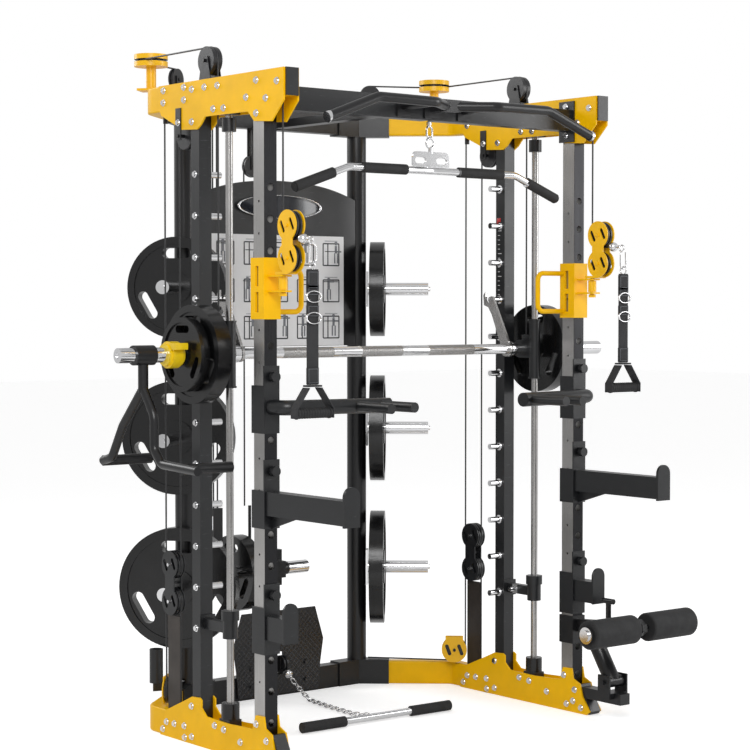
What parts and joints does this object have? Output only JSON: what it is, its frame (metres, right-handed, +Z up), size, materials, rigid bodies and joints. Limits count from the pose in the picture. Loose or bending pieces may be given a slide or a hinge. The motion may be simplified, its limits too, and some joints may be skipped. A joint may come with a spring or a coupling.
{
  "type": "smith machine",
  "caption": "Yellow and black smith machine with cable trainer, lat and low-row stations, rubber plates, storage horns and clamp-on training attachments.",
  "frame": {"origin": "centre of the footprint on the floor", "axes": "+X to the right as seen from the front, +Y towards the shield at the rear, +Z up; the user stands on the -Y side"},
  "size_m": [2.2, 1.54, 2.4065],
  "materials": {
    "yellow_paint": "satin powder coat",
    "black_paint": "satin powder coat",
    "charcoal_paint": "satin powder coat",
    "light_steel": "brushed",
    "chrome": "polished",
    "rubber": "semi-gloss",
    "foam": "matt foam",
    "nylon_rope": "satin coated rope",
    "black_plastic": "satin",
    "yellow_plastic": "gloss",
    "webbing": "woven",
    "white_board": "gloss",
    "dark_glass": "gloss"
  },
  "bodies": {
    "frame": {"base_rails": "yellow_paint", "top_rails": "yellow_paint", "gusset_plates": "yellow_paint", "frame_bolts": "chrome", "front_uprights": "light_steel", "mid_uprights": "charcoal_paint", "rear_frame": "black_paint", "frame_brackets": "charcoal_paint", "front_cross_beam": "charcoal_paint", "guide_rods": "chrome", "rod_bumpers": "rubber", "lock_pegs": "chrome", "pull_up_bar": "black_paint", "storage_horns": "chrome", "storage_plates": "rubber", "rear_shield": "black_paint", "exercise_chart": "white_board", "shield_badge": "dark_glass", "footplate": "black_paint", "pulley_brackets": "charcoal_paint", "guide_pulleys": "black_plastic", "yellow_pulleys": "yellow_paint", "leg_roller_frame": "black_paint", "frame_cables": "nylon_rope", "bar_cables": "nylon_rope", "trolley_cable_left": "nylon_rope", "trolley_cable_right": "nylon_rope", "block_cable_left": "nylon_rope", "block_cable_right": "nylon_rope", "lat_cable": "nylon_rope", "weight_cables": "nylon_rope"},
    "carriage": {"carriage_sleeves": "charcoal_paint"},
    "bar": {"barbell": "chrome", "bar_hooks": "light_steel", "bar_plates": "rubber", "bar_collars": "yellow_plastic"},
    "row_handle": {"row_handle": "black_paint"},
    "safety_stops": {"safety_stops": "charcoal_paint"},
    "spotter_arms": {"spotter_arms": "charcoal_paint"},
    "j_hooks": {"j_hooks": "charcoal_paint"},
    "dip_handles": {"dip_handles": "charcoal_paint"},
    "foam_rollers": {"foam_rollers": "foam"},
    "landmine_tube": {"landmine_tube": "black_paint"},
    "top_pulleys": {"top_pulleys": "black_plastic"},
    "lat_bar": {"lat_bar": "chrome"},
    "weight_carriage": {"weight_carriage": "black_paint", "weight_plate": "rubber"},
    "row_pull": {"row_bar": "chrome", "row_chain": "chrome"},
    "trolley_left": {"trolley_left": "yellow_paint"},
    "pulley_block_left": {"pulley_block_left": "yellow_paint"},
    "snap_hook_left": {"snap_hook_left": "chrome"},
    "hand_strap_left": {"hand_strap_left": "webbing"},
    "floating_block_left": {"floating_block_left": "charcoal_paint"},
    "trolley_right": {"trolley_right": "yellow_paint"},
    "pulley_block_right": {"pulley_block_right": "yellow_paint"},
    "snap_hook_right": {"snap_hook_right": "chrome"},
    "hand_strap_right": {"hand_strap_right": "webbing"},
    "floating_block_right": {"floating_block_right": "charcoal_paint"}
  },
  "joints": [
    {"name": "smith_slide", "type": "slide", "parent": "frame", "child": "carriage", "axis": [0, 0, 1], "range_m": [-0.75, 0.63], "deforming": ["bar_cables"]},
    {"name": "bar_rotation", "type": "hinge", "parent": "carriage", "child": "bar", "pos_m": [0, -0.035, 1.348], "axis": [1, 0, 0], "range_deg": [0, 40]},
    {"name": "row_handle_swing", "type": "hinge", "parent": "bar", "child": "row_handle", "pos_m": [-1.002, -0.035, 1.348], "axis": [1, 0, 0], "range_deg": [-25, 25]},
    {"name": "top_pulley_turn", "type": "hinge", "parent": "frame", "child": "top_pulleys", "pos_m": [0.709, 0.001, 2.339], "axis": [1, 0, 0], "continuous": true},
    {"name": "safety_stop_height", "type": "slide", "parent": "frame", "child": "safety_stops", "axis": [0, 0, 1], "range_m": [-0.2, 0]},
    {"name": "spotter_arm_height", "type": "slide", "parent": "frame", "child": "spotter_arms", "axis": [0, 0, 1], "range_m": [-0.09, 0.04]},
    {"name": "j_hook_height", "type": "slide", "parent": "frame", "child": "j_hooks", "axis": [0, 0, 1], "range_m": [0, 0.085]},
    {"name": "dip_handle_height", "type": "slide", "parent": "frame", "child": "dip_handles", "axis": [0, 0, 1], "range_m": [-0.04, 0.07]},
    {"name": "foam_roller_spin", "type": "hinge", "parent": "frame", "child": "foam_rollers", "pos_m": [0.7, -0.652, 0.35], "axis": [1, 0, 0], "continuous": true},
    {"name": "landmine_tilt", "type": "hinge", "parent": "frame", "child": "landmine_tube", "pos_m": [0.702, -0.52, 0.139], "axis": [1, 0, 0], "range_deg": [0, 35]},
    {"name": "lat_pull", "type": "slide", "parent": "frame", "child": "lat_bar", "axis": [0, 0, -1], "range_m": [0, 0.68], "deforming": ["lat_cable"]},
    {"name": "weight_lift", "type": "slide", "parent": "frame", "child": "weight_carriage", "axis": [0, 0, 1], "range_m": [0, 0.68], "deforming": ["weight_cables"]},
    {"name": "low_row_pull", "type": "slide", "parent": "frame", "child": "row_pull", "axis": [0, -1, 0], "range_m": [0, 0.5]},
    {"name": "trolley_height_left", "type": "slide", "parent": "frame", "child": "trolley_left", "axis": [0, 0, 1], "range_m": [-0.07, 0.23], "deforming": ["trolley_cable_left"]},
    {"name": "pulley_block_swivel_left", "type": "hinge", "parent": "trolley_left", "child": "pulley_block_left", "pos_m": [-0.702, -0.407, 1.6], "axis": [0, 0, 1], "range_deg": [-25, 25]},
    {"name": "cable_pull_left", "type": "slide", "parent": "pulley_block_left", "child": "snap_hook_left", "axis": [0, -1, 0], "range_m": [0, 0.8]},
    {"name": "strap_swing_left", "type": "hinge", "parent": "snap_hook_left", "child": "hand_strap_left", "pos_m": [-0.702, -0.565, 1.6385], "axis": [1, 0, 0], "range_deg": [-45, 0]},
    {"name": "lift_block_rise_left", "type": "slide", "parent": "frame", "child": "floating_block_left", "axis": [0, 0, 1], "range_m": [0, 0.4], "deforming": ["block_cable_left"]},
    {"name": "trolley_height_right", "type": "slide", "parent": "frame", "child": "trolley_right", "axis": [0, 0, 1], "range_m": [-0.07, 0.23], "deforming": ["trolley_cable_right"]},
    {"name": "pulley_block_swivel_right", "type": "hinge", "parent": "trolley_right", "child": "pulley_block_right", "pos_m": [0.702, -0.407, 1.6], "axis": [0, 0, 1], "range_deg": [-25, 25]},
    {"name": "cable_pull_right", "type": "slide", "parent": "pulley_block_right", "child": "snap_hook_right", "axis": [0, -1, 0], "range_m": [0, 0.8]},
    {"name": "strap_swing_right", "type": "hinge", "parent": "snap_hook_right", "child": "hand_strap_right", "pos_m": [0.702, -0.565, 1.6385], "axis": [1, 0, 0], "range_deg": [-45, 0]},
    {"name": "lift_block_rise_right", "type": "slide", "parent": "frame", "child": "floating_block_right", "axis": [0, 0, 1], "range_m": [0, 0.4], "deforming": ["block_cable_right"]}
  ],
  "couplings": [
    {"joint": "top_pulley_turn", "follows": "smith_slide", "rad_per_m": -21.74},
    {"joint": "weight_lift", "follows": "lat_pull", "ratio": 1},
    {"joint": "lift_block_rise_left", "follows": "cable_pull_left", "ratio": 0.5},
    {"joint": "lift_block_rise_right", "follows": "cable_pull_right", "ratio": 0.5}
  ]
}
